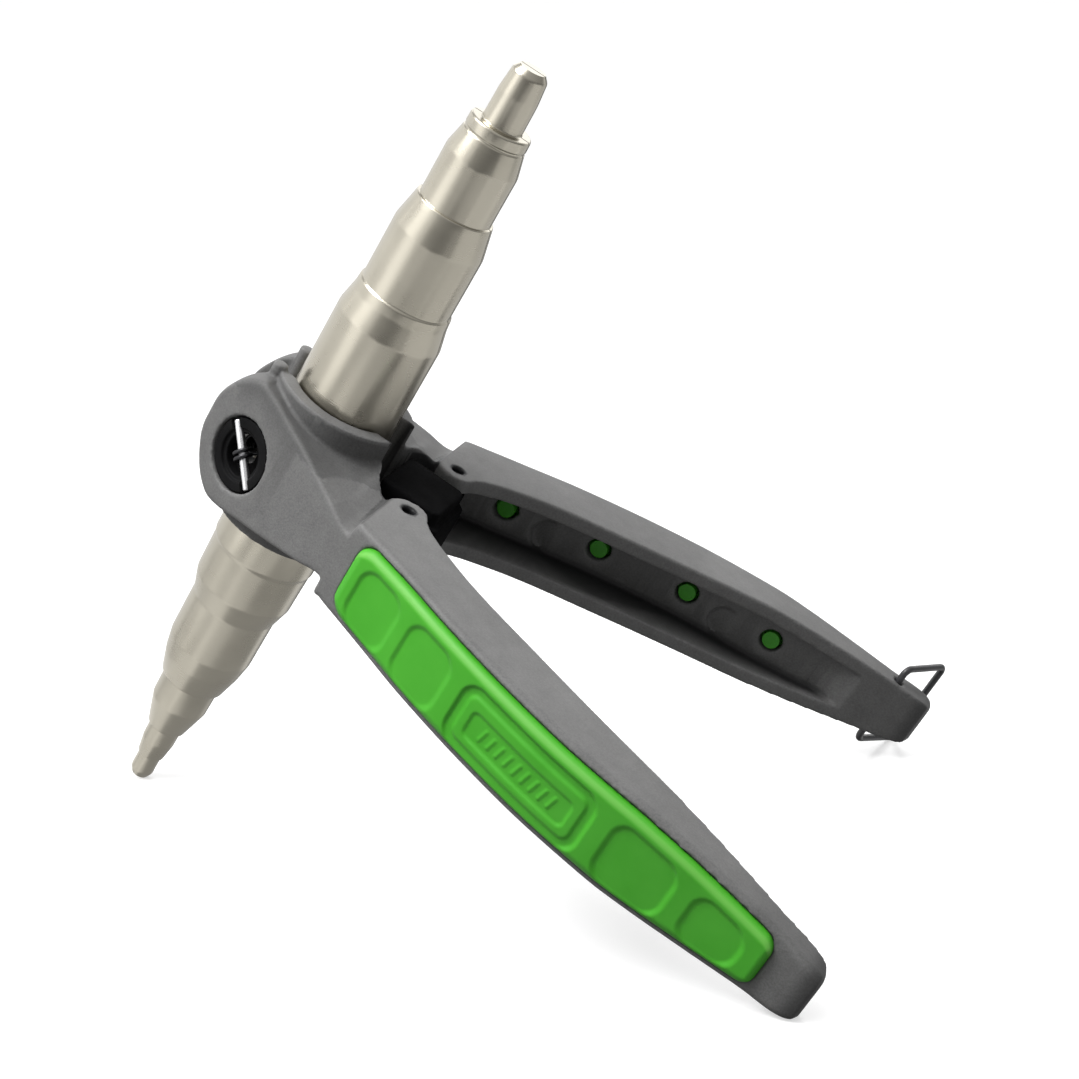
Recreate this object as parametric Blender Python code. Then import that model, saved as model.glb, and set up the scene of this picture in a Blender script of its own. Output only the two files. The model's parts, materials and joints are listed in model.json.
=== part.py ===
# Hand tube expander: two cast half bodies rocking on a fulcrum block, a split stepped mandrel,
# a return spring between them and a wire bail on one handle.  Metres, +Z up.
# Built in a tool frame (mandrel axis = Z, handles towards +X, split plane Y = 0) that is then stood
# on its three feet: the lower mandrel tip and the two handle ends.
import math

import bmesh
import bpy
import numpy as np
from mathutils import Matrix, Vector

MM = 0.001
GAP = 0.3

# mandrel: radius against height, two stepped ends around a waist that the castings grip
MANDREL = ((82.6, 0.0), (82.6, 2.4), (81.5, 3.3), (77.4, 3.7), (71.6, 3.8), (71.6, 5.45), (71.3, 5.75),
           (69.5, 5.8), (69.35, 5.65), (69.0, 5.65), (68.85, 5.85), (64.6, 6.85), (54.9, 6.85),
           (54.9, 7.35), (53.2, 7.7), (48.9, 8.6), (36.7, 8.6), (36.4, 8.95), (34.5, 9.1), (30.2, 10.0),
           (5.6, 10.0), (5.6, 6.8), (-5.6, 6.8), (-5.6, 10.0), (-21.0, 10.0), (-21.6, 9.75), (-30.0, 9.55),
           (-34.2, 8.35), (-44.6, 8.25), (-48.5, 7.6), (-53.3, 6.3), (-53.3, 5.6), (-59.2, 5.5),
           (-65.5, 3.75), (-65.5, 3.2), (-69.2, 3.15), (-72.9, 2.6), (-72.9, 2.25), (-77.0, 2.25),
           (-78.2, 1.7), (-78.7, 0.0))
MANDREL_SPLIT = 0.15
MANDREL_STEPS = 40

# half body, seen from above: inner and outer edge of the casting, distance from the split plane
INNER = ((-19.2, 5.6), (12.4, 5.6), (13.4, 8.6), (15.0, 10.9), (16.6, 12.0), (18.0, 12.0), (18.7, 10.6),
         (20.0, 9.5), (21.8, 9.1), (23.6, 9.5), (24.9, 10.7), (25.7, 12.7), (27.6, 15.1), (34.0, 19.9),
         (40.0, 23.5), (55.0, 30.2), (70.0, 36.5), (85.0, 42.3), (100.0, 47.2), (110.0, 50.4), (119.4, 53.1),
         (120.7, 53.8), (121.4, 55.4))
OUTER = ((-19.2, 8.9), (-9.5, 13.6), (0.0, 18.3), (11.0, 23.9), (18.0, 27.4), (30.0, 33.3), (40.0, 38.5),
         (55.0, 45.0), (70.0, 50.0), (85.0, 53.1), (100.0, 55.2), (112.0, 57.2), (119.4, 59.0), (120.7, 58.9),
         (121.4, 57.9))
# half height at the outer face and at the inner edge
HIGH_OUT = ((-19.2, 2.5), (-19.0, 4.0), (-18.3, 5.9), (-17.0, 8.2), (-15.1, 10.5), (-13.1, 11.9), (-11.4, 12.5),
            (-2.2, 10.6), (11.0, 6.9), (16.5, 5.2), (17.99, 5.2), (18.01, 8.3), (22.0, 8.5), (40.0, 8.8),
            (82.0, 8.8), (92.0, 8.3), (100.0, 7.6), (110.0, 6.5), (119.4, 5.2), (120.7, 4.7), (121.4, 4.0))
HIGH_IN = ((-19.2, 2.5), (-19.0, 4.0), (-18.3, 5.9), (-17.0, 8.2), (-15.1, 10.5), (-13.1, 11.8), (-11.4, 12.1),
           (-2.2, 10.9), (5.0, 10.3), (12.5, 9.6), (16.5, 7.6), (17.99, 7.2), (18.01, 8.3), (22.0, 8.5), (40.0, 8.8),
           (82.0, 8.8), (92.0, 8.3), (100.0, 7.6), (110.0, 6.5), (119.4, 5.2), (120.7, 4.7), (121.4, 4.0))
STATIONS = (-19.2, -19.0, -18.3, -17.0, -15.1, -13.1, -11.4, -7.0, -2.2, 3.0, 8.0, 11.5, 12.4, 13.4, 15.0, 16.5,
            16.69, 16.71, 17.3, 17.99, 18.01, 18.7, 20.0, 21.8, 23.6, 24.9, 25.7, 27.6, 30.0, 34.0, 37.0, 40.0,
            47.0, 55.0, 62.0, 70.0, 76.0, 82.0, 87.0, 92.0, 96.0, 100.0, 105.0, 110.0, 115.0, 119.4, 120.7,
            121.4)
WEB = 4.2
FLANGE = 2.9
COLLAR_R = 13.3
COLLAR_Z = 14.0
BORE_R = 10.3
WAIST_RIB_R = 7.1
WAIST_RIB_Z = 5.3

PIVOT = (21.8, 12.9)
PIN_R = 1.0
PIN_BORE = 0.62
LOW_STEP = 1.3
CUP = (-9.5, 13.6, -1.2)
CUP_TILT = math.radians(26.0)
CUP_R = 6.7
CUP_DEEP = 3.9
CUP_BORE = 4.0
CROSS_R = 0.8
CROSS_DEEP = 1.2
CROSS_TURN = math.radians(48.0)
SPRING_X = -9.6
SPRING_Z = -1.2
SPRING_R = 1.7
SPRING_WIRE = 0.38
STUDS = (31.0, 49.7, 68.6, 87.6)
PAD_FROM = 20.6
PAD_TO = 112.5
PAD_DEEP = 0.9
PAD_PROUD = 1.3
BAIL = (113.0, 53.6)
BAIL_LEG = (6.6, 11.4)
BAIL_WIRE = 0.7
SCREW_X = 3.0
SCREW_Z = 8.9

# stance: rotations that put the three feet on the ground
STAND_TILT = math.radians(30.914)
STAND_ROLL = math.radians(2.179)


def lin(table, x):
    return float(np.interp(x, [p[0] for p in table], [p[1] for p in table]))


for old in list(bpy.data.objects):
    bpy.data.objects.remove(old, do_unlink=True)

TOOL = bpy.data.collections.new("tube_expander")
bpy.context.scene.collection.children.link(TOOL)


def material(name, colour, rough, metal):
    mat = bpy.data.materials.new(name)
    mat.use_nodes = True
    shader = mat.node_tree.nodes["Principled BSDF"]
    shader.inputs["Base Color"].default_value = (*colour, 1.0)
    shader.inputs["Roughness"].default_value = rough
    shader.inputs["Metallic"].default_value = metal
    mat.diffuse_color = (*colour, 1.0)
    return mat


def add(name, mesh):
    obj = bpy.data.objects.new(name, mesh)
    TOOL.objects.link(obj)
    return obj


def from_bm(name, bm):
    bmesh.ops.recalc_face_normals(bm, faces=bm.faces)
    mesh = bpy.data.meshes.new(name)
    bm.to_mesh(mesh)
    bm.free()
    return add(name, mesh)


def loft(name, rings):
    bm = bmesh.new()
    rows = [[bm.verts.new(Vector(p) * MM) for p in ring] for ring in rings]
    for low, high in zip(rows[:-1], rows[1:]):
        for i in range(len(low)):
            j = (i + 1) % len(low)
            bm.faces.new((low[i], low[j], high[j], high[i]))
    bm.faces.new(list(reversed(rows[0])))
    bm.faces.new(rows[-1])
    return from_bm(name, bm)


def cylinder(name, radius, start, end, sides=32, radius_end=None):
    start, end = Vector(start) * MM, Vector(end) * MM
    axis = end - start
    turn = axis.to_track_quat("Z", "Y").to_matrix().to_4x4()
    bm = bmesh.new()
    bmesh.ops.create_cone(bm, cap_ends=True, segments=sides, radius1=radius * MM,
                          radius2=(radius if radius_end is None else radius_end) * MM, depth=axis.length,
                          matrix=Matrix.Translation((start + end) / 2) @ turn)
    return from_bm(name, bm)


def box(name, low, high):
    low, high = Vector(low) * MM, Vector(high) * MM
    size = high - low
    bm = bmesh.new()
    bmesh.ops.create_cube(bm, size=1.0, matrix=Matrix.Translation((low + high) / 2)
                          @ Matrix.Diagonal((size.x, size.y, size.z, 1.0)))
    return from_bm(name, bm)


def turned(name, profile, steps):
    bm = bmesh.new()
    rows = []
    for z, r in profile:
        if r == 0.0:
            rows.append([bm.verts.new((0.0, 0.0, z * MM))])
        else:
            rows.append([bm.verts.new((r * MM * math.cos(2 * math.pi * k / steps),
                                       r * MM * math.sin(2 * math.pi * k / steps), z * MM))
                         for k in range(steps)])
    for a, b in zip(rows[:-1], rows[1:]):
        for k in range(steps):
            j = (k + 1) % steps
            corners = [a[k % len(a)], a[j % len(a)], b[j % len(b)], b[k % len(b)]]
            unique = []
            for corner in corners:
                if corner not in unique:
                    unique.append(corner)
            bm.faces.new(unique)
    return from_bm(name, bm)


def cut(obj, other, how="DIFFERENCE"):
    mod = obj.modifiers.new("cut", "BOOLEAN")
    mod.operation = how
    mod.solver = "EXACT"
    mod.object = other
    graph = bpy.context.evaluated_depsgraph_get()
    mesh = bpy.data.meshes.new_from_object(obj.evaluated_get(graph))
    obj.modifiers.clear()
    obj.data = mesh
    bpy.data.objects.remove(other, do_unlink=True)
    return obj


def finish(obj, mat, parent, mirrored=False):
    bm = bmesh.new()
    bm.from_mesh(obj.data)
    bmesh.ops.remove_doubles(bm, verts=bm.verts, dist=0.00001)
    bmesh.ops.dissolve_degenerate(bm, edges=bm.edges, dist=0.00001)
    if mirrored:
        bmesh.ops.scale(bm, vec=(1.0, -1.0, 1.0), verts=bm.verts)
    bmesh.ops.recalc_face_normals(bm, faces=bm.faces)
    bm.to_mesh(obj.data)
    bm.free()
    obj.data.materials.clear()
    obj.data.materials.append(mat)
    obj.parent = parent
    obj.location = -parent.location if parent is not STAND else Vector((0.0, 0.0, 0.0))
    return obj


def empty(name, spot, parent):
    obj = bpy.data.objects.new(name, None)
    TOOL.objects.link(obj)
    obj.empty_display_size = 0.01
    obj.location = Vector(spot) * MM
    obj.parent = parent
    return obj


STAND = bpy.data.objects.new("stance", None)
TOOL.objects.link(STAND)
STAND.empty_display_size = 0.02

FRONT = empty("front_hinge", (PIVOT[0], -PIVOT[1], 0.0), STAND)
REAR = empty("rear_hinge", (PIVOT[0], PIVOT[1], 0.0), STAND)
LATCH = empty("bail_hinge", (BAIL[0] - PIVOT[0], BAIL[1] - PIVOT[1], 0.0), REAR)

CAST = material("cast_aluminium_paint", (0.22, 0.22, 0.22), 0.55, 0.35)
NICKEL = material("satin_nickel", (0.62, 0.58, 0.51), 0.28, 1.0)
GREEN = material("grip_rubber", (0.10, 0.46, 0.06), 0.55, 0.0)
BLACK = material("black_plastic", (0.012, 0.012, 0.013), 0.4, 0.0)
STEEL = material("pin_steel", (0.60, 0.60, 0.61), 0.25, 1.0)
SPRING = material("spring_steel", (0.20, 0.20, 0.21), 0.3, 1.0)
BRONZE = material("bush_bronze", (0.50, 0.33, 0.14), 0.4, 1.0)
WIRE = material("bail_wire", (0.02, 0.02, 0.022), 0.35, 0.6)


def section(x, corner=2.0, arc=4):
    """Ring of points of the half body at one station, side towards -Y."""
    y_in, y_out = lin(INNER, x), lin(OUTER, x)
    z_in, z_out = lin(HIGH_IN, x), lin(HIGH_OUT, x)
    corner = min(corner, 0.45 * (y_out - y_in), 0.8 * z_out)

    def edge(top, side, sag):
        half = []
        for t in (0.0, 0.45, 0.75):
            dip = sag * math.sin(math.pi * t)
            half.append((y_in + t * (y_out - corner - y_in), side + t * (top - side) - dip))
        for k in range(arc + 1):
            a = 0.5 * math.pi * (1 - k / arc)
            half.append((y_out - corner + corner * math.cos(a), top - corner + corner * math.sin(a)))
        return half

    upper = edge(z_out, z_in, 0.3 if -11.2 < x < 17.995 else 0.0)
    # the lower flange of the handle starts a little earlier than the upper one
    below = x + LOW_STEP if 16.7 < x < 18.0 else x
    lower = edge(lin(HIGH_OUT, below), lin(HIGH_IN, below), 0.3 if -11.2 < below < 17.995 else 0.0)
    ring = upper + [(y, -z) for y, z in reversed(lower)]
    lift = 0.6 * min(1.0, max(0.0, (-9.0 - x) / 9.0))
    return [(x, -y, z + lift) for y, z in ring]


def stadium(x, y0, y1, z):
    return [(x, -y0, z), (x, -y1, z), (x, -y1, -z), (x, -y0, -z)]


def half_body(with_bail):
    rings = [section(x, corner=1.4 if x > 18.0 else 0.7) for x in STATIONS]
    body = loft("body", rings)
    # channel between the flanges, open towards the other handle
    rings = []
    for x in (17.9, 20.0, 24.9, 27.6, 34.0, 40.0, 55.0, 70.0, 82.0, 92.0, 100.0, 104.5, 109.0):
        y0 = lin(INNER, x) - 4.0
        y1 = lin(OUTER, x) - WEB - max(0.0, x - 99.0) * 0.36
        rings.append(stadium(x, y0, y1, lin(HIGH_IN, max(x, 18.1)) - FLANGE))
    cut(body, loft("channel", rings))
    # collar, bore and the rib that fills the waist of the mandrel
    collar = cylinder("collar", COLLAR_R, (0, 0, -COLLAR_Z), (0, 0, COLLAR_Z), 64)
    cut(collar, box("half", (-20, -5.6, -20), (20, 20, 20)))
    cut(body, collar, "UNION")
    cut(body, cylinder("bore", BORE_R, (0, 0, 5.3), (0, 0, 20), 48))
    cut(body, cylinder("bore", BORE_R, (0, 0, -20), (0, 0, -5.3), 48))
    cut(body, cylinder("bore", WAIST_RIB_R, (0, 0, -8), (0, 0, 8), 48))
    # seat of the spring cup and the passage of the spring
    c, n, d = cup_axes()
    cut(body, cylinder("seat", CUP_R + GAP, c - n * (CUP_DEEP + GAP), c + n * 6.0, 40))
    cut(body, cylinder("passage", 2.7, (SPRING_X, -16.0, SPRING_Z), (SPRING_X, 2.0, SPRING_Z), 24))
    # hinge pin, screws, bail hole
    cut(body, cylinder("pin", PIN_R + 0.2, (PIVOT[0], -PIVOT[1], -12), (PIVOT[0], -PIVOT[1], 12), 24))
    for z in (-SCREW_Z, SCREW_Z):
        cut(body, cylinder("tap", 1.3, (SCREW_X, -2.0, z), (SCREW_X, -12.4, z), 20))
    # recess of the grip and the holes its studs go through
    rings = []
    for x in PAD_X:
        y = lin(OUTER, x)
        z = pad_half(x) + GAP
        rings.append([(x, -(y - PAD_DEEP), z), (x, -(y + 4.0), z), (x, -(y + 4.0), -z), (x, -(y - PAD_DEEP), -z)])
    cut(body, loft("recess", rings))
    for x in STUDS:
        y = lin(OUTER, x)
        cut(body, cylinder("stud", 2.35, (x, -(y - 8.0), -0.4), (x, -(y + 3.0), -0.4), 24))
    if with_bail:
        for z in (-1, 1):
            cut(body, cylinder("eye", BAIL_WIRE + 0.3, (BAIL[0], -BAIL[1], 2.0 * z), (BAIL[0], -BAIL[1], 9.0 * z), 20))
    return body


PAD_X = (20.6, 21.2, 22.6, 26.0, 30.0, 35.0, 40.0, 47.5, 55.0, 62.5, 70.0, 77.5, 85.0, 92.5, 100.0, 106.0, 110.5,
         112.0, 112.5)


def pad_half(x):
    full = lin(HIGH_OUT, max(x, 18.1)) - 1.5
    lead = min(1.0, max(0.0, (x - PAD_FROM) / 4.0))
    tail = min(1.0, max(0.0, (PAD_TO - x) / 2.0))
    return full * (0.72 + 0.28 * math.sin(0.5 * math.pi * lead)) * (0.75 + 0.25 * math.sin(0.5 * math.pi * tail))


def grip():
    rings = []
    for x in PAD_X:
        y = lin(OUTER, x)
        edge = min(1.0, (x - PAD_FROM) / 2.0, (PAD_TO - x) / 1.9)
        top = PAD_PROUD * math.sin(0.5 * math.pi * max(0.0, edge))
        z = pad_half(x)
        low = y - PAD_DEEP + GAP
        half = [(low, z), (y + 0.15, z), (y + 0.15 + 0.7 * top, z - 0.45), (y + 0.15 + top, z - 1.5)]
        ring = half + [(yy, -zz) for yy, zz in reversed(half)]
        rings.append([(x, -yy, zz) for yy, zz in ring])
    pad = loft("grip", rings)
    for x in STUDS:
        y = lin(OUTER, x)
        cut(pad, cylinder("stud", 1.75, (x, -(y - WEB + 0.3), -0.4), (x, -(y + 0.4), -0.4), 24), "UNION")
    return pad


def mandrel_half():
    body = turned("mandrel", MANDREL, MANDREL_STEPS)
    cut(body, box("half", (-20, -MANDREL_SPLIT, -100), (20, 20, 100)))
    for z in (-SCREW_Z, SCREW_Z):
        cut(body, cylinder("bolt", 1.4, (SCREW_X, 1.0, z), (SCREW_X, -14.0, z), 20))
        cut(body, cylinder("head", 2.5, (SCREW_X, 1.0, z), (SCREW_X, -3.2, z), 24))
    return body


def mandrel_screw(z):
    head = cylinder("screw", 2.2, (SCREW_X, -1.0, z), (SCREW_X, -2.9, z), 24)
    cut(head, cylinder("shank", 1.05, (SCREW_X, -2.5, z), (SCREW_X, -12.0, z), 20), "UNION")
    return cut(head, cylinder("socket", 1.1, (SCREW_X, -0.5, z), (SCREW_X, -2.2, z), 6))


def cup_axes():
    """Centre of the cup's mouth, its outward normal and the line of the cross pin."""
    n = Vector((-math.sin(CUP_TILT), -math.cos(CUP_TILT), 0.0))
    c = Vector((CUP[0], -CUP[1], CUP[2]))
    e = Vector((math.cos(CUP_TILT), -math.sin(CUP_TILT), 0.0))
    d = e * math.sin(CROSS_TURN) - Vector((0, 0, 1)) * math.cos(CROSS_TURN)
    return c, n, d.normalized()


def cup():
    c, n, d = cup_axes()
    piece = cylinder("cup", CUP_R, c - n * CUP_DEEP, c - n * 0.35, 40)
    cut(piece, cylinder("bore", CUP_BORE, c - n * (CUP_DEEP + 1), c + n, 32))
    w = n.cross(d) * (CROSS_R + 0.25)
    floor = CROSS_DEEP + CROSS_R + 0.3
    slot = []
    for s in (-1, 1):
        p = c + d * (s * 9.0)
        slot.append([p + w + n * 2, p - w + n * 2, p - w - n * floor, p + w - n * floor])
    return cut(piece, loft("slot", slot))


def cross_pin():
    c, n, d = cup_axes()
    m = c - n * CROSS_DEEP
    return cylinder("cross", CROSS_R, m - d * 6.4, m + d * 6.4, 16)


def wire(name, points, radius):
    data = bpy.data.curves.new(name, "CURVE")
    data.dimensions = "3D"
    data.bevel_depth = radius * MM
    data.bevel_resolution = 2
    data.use_fill_caps = True
    line = data.splines.new("POLY")
    line.points.add(len(points) - 1)
    for spot, p in zip(line.points, points):
        spot.co = (p[0] * MM, p[1] * MM, p[2] * MM, 1.0)
    curve = add(name + "_curve", data)
    graph = bpy.context.evaluated_depsgraph_get()
    mesh = bpy.data.meshes.new_from_object(curve.evaluated_get(graph))
    bpy.data.objects.remove(curve, do_unlink=True)
    return add(name, mesh)


def return_spring():
    """Close coil between the two cross pins, hooked round each of them."""
    turns = 17
    span = 7.2
    steps = turns * 12
    coil = []
    for k in range(steps + 1):
        a = 2 * math.pi * k / 12
        coil.append(Vector((SPRING_X + SPRING_R * math.sin(a), -span + 2 * span * k / steps,
                            SPRING_Z + SPRING_R * math.cos(a))))
    c, n, d = cup_axes()
    m = c - n * CROSS_DEEP
    near = (Vector((0, 1, 0)) - d * d.y).normalized()
    side = d.cross(near)
    reach = CROSS_R + GAP + SPRING_WIRE
    hook = [m + near * 2.6 + side * reach * 0.8]
    for k in range(9):
        a = math.pi * (0.5 + k / 8 * 1.15)
        hook.append(m + near * (reach * math.cos(a)) + side * (reach * math.sin(a)))
    front = list(reversed(hook))
    rear = [Vector((p.x, -p.y, p.z)) for p in hook]
    return wire("return_spring", front + coil + rear, SPRING_WIRE)


def round_path(corners, radius, steps=5):
    path = [Vector(corners[0])]
    for before, corner, after in zip(corners[:-2], corners[1:-1], corners[2:]):
        corner = Vector(corner)
        a = (Vector(before) - corner).normalized()
        b = (Vector(after) - corner).normalized()
        half = a.angle(b) / 2
        reach = radius / math.tan(half)
        centre = corner + (a + b).normalized() * (radius / math.sin(half))
        start = corner + a * reach - centre
        end = corner + b * reach - centre
        swing = start.angle(end)
        for k in range(steps + 1):
            t = k / steps
            spot = (start * math.sin((1 - t) * swing) + end * math.sin(t * swing)) / math.sin(swing)
            path.append(centre + spot)
    path.append(Vector(corners[-1]))
    return path


def bail():
    x, y = BAIL
    far = (x + BAIL_LEG[0], y + BAIL_LEG[1])
    corners = [(x, y, 2.4), (x, y, 9.2), (*far, 9.6), (*far, -9.6), (x, y, -9.2), (x, y, -2.4)]
    return wire("bail", round_path(corners, 1.5), BAIL_WIRE)


def fulcrum():
    px, py = PIVOT
    outline = [(px + 3.3 * math.cos(math.pi * (1 + k / 10)), -py + 3.3 * math.sin(math.pi * (1 + k / 10)))
               for k in range(11)]
    outline += [(25.6, -9.0), (27.2, -7.2), (27.2, 7.2), (25.6, 9.0)]
    outline += [(px + 3.3 * math.cos(math.pi * k / 10), py + 3.3 * math.sin(math.pi * k / 10)) for k in range(11)]
    outline += [(16.2, 8.4), (13.9, 7.2), (13.9, -7.2), (16.2, -8.4)]
    block = loft("fulcrum_block", [[(x, y, z) for x, y in outline] for z in (-5.1, 5.1)])
    core = [(13.9, -7.2), (25.0, -7.2), (26.0, -6.2), (26.0, 6.2), (25.0, 7.2), (13.9, 7.2)]
    cut(block, loft("core", [[(x, y, z) for x, y in core] for z in (-8.0, 8.0)]), "UNION")
    for sign in (-1, 1):
        cut(block, cylinder("bush_seat", 2.1, (px, sign * py, -9), (px, sign * py, 9), 24))
    return block


def bush(sign):
    px, py = PIVOT
    ring = cylinder("bush", 1.8, (px, sign * py, -5.2), (px, sign * py, 5.2), 24)
    cut(ring, cylinder("bore", PIN_R + 0.2, (px, sign * py, -9), (px, sign * py, 9), 20))
    return ring


def hinge_pin(sign):
    px, py = PIVOT
    pin = cylinder("hinge", PIN_R, (px, sign * py, -7.6), (px, sign * py, 7.6), 20)
    return cut(pin, cylinder("bore", PIN_BORE, (px, sign * py, -9.0), (px, sign * py, 9.0), 16))


def build_half(prefix, parent, mirrored):
    pieces = [("body", half_body(mirrored), CAST), ("mandrel", mandrel_half(), NICKEL), ("grip", grip(), GREEN),
              ("upper_screw", mandrel_screw(SCREW_Z), STEEL), ("lower_screw", mandrel_screw(-SCREW_Z), STEEL)]
    pieces.append(("spring_cup", cup(), BLACK))
    pieces.append(("cross_pin", cross_pin(), STEEL))
    for label, obj, mat in pieces:
        obj.name = prefix + "_" + label
        obj.data.name = obj.name
        finish(obj, mat, parent, mirrored)


build_half("front", FRONT, False)
build_half("rear", REAR, True)

block = fulcrum()
finish(block, BLACK, STAND)
for label, sign in (("front", -1), ("rear", 1)):
    piece = bush(sign)
    piece.name = label + "_hinge_bush"
    finish(piece, BRONZE, STAND)
    piece = hinge_pin(sign)
    piece.name = label + "_hinge_pin"
    finish(piece, STEEL, STAND)
finish(return_spring(), SPRING, STAND)

latch = bail()
latch.name = "lock_bail"
finish(latch, WIRE, LATCH)
latch.location = Vector((-BAIL[0], -BAIL[1], 0.0)) * MM

bpy.context.view_layer.update()
STAND.rotation_euler = (STAND_ROLL, STAND_TILT, 0.0)
bpy.context.view_layer.update()
low = Vector((1.0, 1.0, 1.0))
high = -low
for obj in TOOL.objects:
    if obj.type == "MESH":
        for vert in obj.data.vertices:
            spot = obj.matrix_world @ vert.co
            low = Vector(map(min, low, spot))
            high = Vector(map(max, high, spot))
STAND.location = (-(low.x + high.x) / 2, -(low.y + high.y) / 2, -low.z)
bpy.context.view_layer.update()
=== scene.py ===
import json
import math

import bmesh
import bpy
import numpy as np
from mathutils import Matrix, Vector


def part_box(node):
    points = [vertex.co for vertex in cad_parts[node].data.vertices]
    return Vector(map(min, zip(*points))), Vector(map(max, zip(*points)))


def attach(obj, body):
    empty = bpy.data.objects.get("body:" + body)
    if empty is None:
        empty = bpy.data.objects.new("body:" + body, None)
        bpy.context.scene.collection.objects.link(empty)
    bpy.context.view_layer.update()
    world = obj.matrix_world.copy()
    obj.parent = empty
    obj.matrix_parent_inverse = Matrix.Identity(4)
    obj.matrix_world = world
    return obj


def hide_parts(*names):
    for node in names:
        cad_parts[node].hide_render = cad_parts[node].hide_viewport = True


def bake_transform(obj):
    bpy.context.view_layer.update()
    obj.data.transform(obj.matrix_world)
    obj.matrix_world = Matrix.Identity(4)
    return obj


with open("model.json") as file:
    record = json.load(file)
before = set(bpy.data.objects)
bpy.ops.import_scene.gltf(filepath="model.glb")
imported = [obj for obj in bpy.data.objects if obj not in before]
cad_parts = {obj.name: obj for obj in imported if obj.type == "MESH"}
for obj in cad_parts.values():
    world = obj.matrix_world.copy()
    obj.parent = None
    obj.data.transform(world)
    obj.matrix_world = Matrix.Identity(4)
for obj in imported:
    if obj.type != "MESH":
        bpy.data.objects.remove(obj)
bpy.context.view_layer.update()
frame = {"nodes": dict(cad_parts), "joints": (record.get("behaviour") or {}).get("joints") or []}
MM = 0.001

# ---------------------------------------------------------------- place of the tool's frame
PIVOT = (21.8, 12.9)


def middle(node):
    low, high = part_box(node)
    return (low + high) / 2


joint = next(j for j in frame["joints"] if j["name"] == "front_rock")
axis_z = Vector(joint["axis"]).normalized()
front_spot, rear_spot = middle("front_hinge_bush"), middle("rear_hinge_bush")
axis_y = (rear_spot - front_spot).normalized()
axis_x = axis_y.cross(axis_z).normalized()
axis_z = axis_x.cross(axis_y)
TURN = Matrix((axis_x, axis_y, axis_z)).transposed().to_4x4()
CENTRE = (front_spot + rear_spot) / 2 - axis_x * PIVOT[0] * MM
PLACE = Matrix.Translation(CENTRE) @ TURN @ Matrix.Scale(MM, 4)
FLIP = Matrix.Diagonal((1.0, -1.0, 1.0, 1.0))

# ---------------------------------------------------------------- shape tables, mm
MANDREL = ((82.6, 0.0), (82.6, 2.4), (81.5, 3.3), (77.4, 3.7), (71.6, 3.8), (71.6, 5.45), (71.3, 5.75),
           (69.5, 5.8), (69.35, 5.65), (69.0, 5.65), (68.85, 5.85), (64.6, 6.85), (54.9, 6.85),
           (54.9, 7.35), (53.2, 7.7), (48.9, 8.6), (36.7, 8.6), (36.4, 8.95), (34.5, 9.1), (30.2, 10.0),
           (5.6, 10.0), (5.6, 6.8), (-5.6, 6.8), (-5.6, 10.0), (-21.0, 10.0), (-21.6, 9.75), (-30.0, 9.55),
           (-34.2, 8.35), (-44.6, 8.25), (-48.5, 7.6), (-53.3, 6.3), (-53.3, 5.6), (-59.2, 5.5),
           (-65.5, 3.75), (-65.5, 3.2), (-69.2, 3.15), (-72.9, 2.6), (-72.9, 2.25), (-77.0, 2.25),
           (-78.2, 1.7), (-78.7, 0.0))
MANDREL_SPLIT = 0.15
INNER = ((-19.2, 5.6), (12.4, 5.6), (13.4, 8.6), (15.0, 10.9), (16.6, 12.0), (18.0, 12.0), (18.7, 10.6),
         (20.0, 9.5), (21.8, 9.1), (23.6, 9.5), (24.9, 10.7), (25.7, 12.7), (27.6, 15.1), (34.0, 19.9),
         (40.0, 23.5), (55.0, 30.2), (70.0, 36.5), (85.0, 42.3), (100.0, 47.2), (110.0, 50.4), (119.4, 53.1),
         (120.7, 53.8), (121.4, 55.4))
OUTER = ((-19.2, 8.9), (-9.5, 13.6), (0.0, 18.3), (11.0, 23.9), (18.0, 27.4), (30.0, 33.3), (40.0, 38.5),
         (55.0, 45.0), (70.0, 50.0), (85.0, 53.1), (100.0, 55.2), (112.0, 57.2), (119.4, 59.0), (120.7, 58.9),
         (121.4, 57.9))
HIGH_OUT = ((-19.2, 2.5), (-19.0, 4.0), (-18.3, 5.9), (-17.0, 8.2), (-15.1, 10.5), (-13.1, 11.9), (-11.4, 12.5),
            (-2.2, 10.6), (11.0, 6.9), (16.5, 5.2), (17.99, 5.2), (18.01, 8.3), (22.0, 8.5), (40.0, 8.8),
            (82.0, 8.8), (92.0, 8.3), (100.0, 7.6), (110.0, 6.5), (119.4, 5.2), (120.7, 4.7), (121.4, 4.0))
HIGH_IN = ((-19.2, 2.5), (-19.0, 4.0), (-18.3, 5.9), (-17.0, 8.2), (-15.1, 10.5), (-13.1, 11.8), (-11.4, 12.1),
           (-2.2, 10.9), (5.0, 10.3), (12.5, 9.6), (16.5, 7.6), (17.99, 7.2), (18.01, 8.3), (22.0, 8.5),
           (40.0, 8.8), (82.0, 8.8), (92.0, 8.3), (100.0, 7.6), (110.0, 6.5), (119.4, 5.2), (120.7, 4.7),
           (121.4, 4.0))
WEB = 4.2
FLANGE = 2.9
COLLAR_R = 13.3
COLLAR_Z = 14.0
BORE_R = 10.3
WAIST_RIB_R = 7.1
PIN_R = 1.0
PIN_BORE = 0.62
PIN_HALF = 7.6
BUSH_R = 1.8
BUSH_HALF = 5.2
EAR_R = 3.3
BLOCK_HALF = 5.1
LOW_STEP = 1.3
CHANNEL_FROM = 17.9
CHANNEL_TO = 109.0
TAPER_FROM = 99.0
TAPER = 0.36
CAST_GRID = 0.34
CAST_ROUNDS = 5
CAST_SHARE = 0.4
LUG = (-12.3, -5.9)
LUG_R = 1.4
LUG_RISE = 0.9
CUP = (-9.5, 13.6, -1.2)
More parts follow.
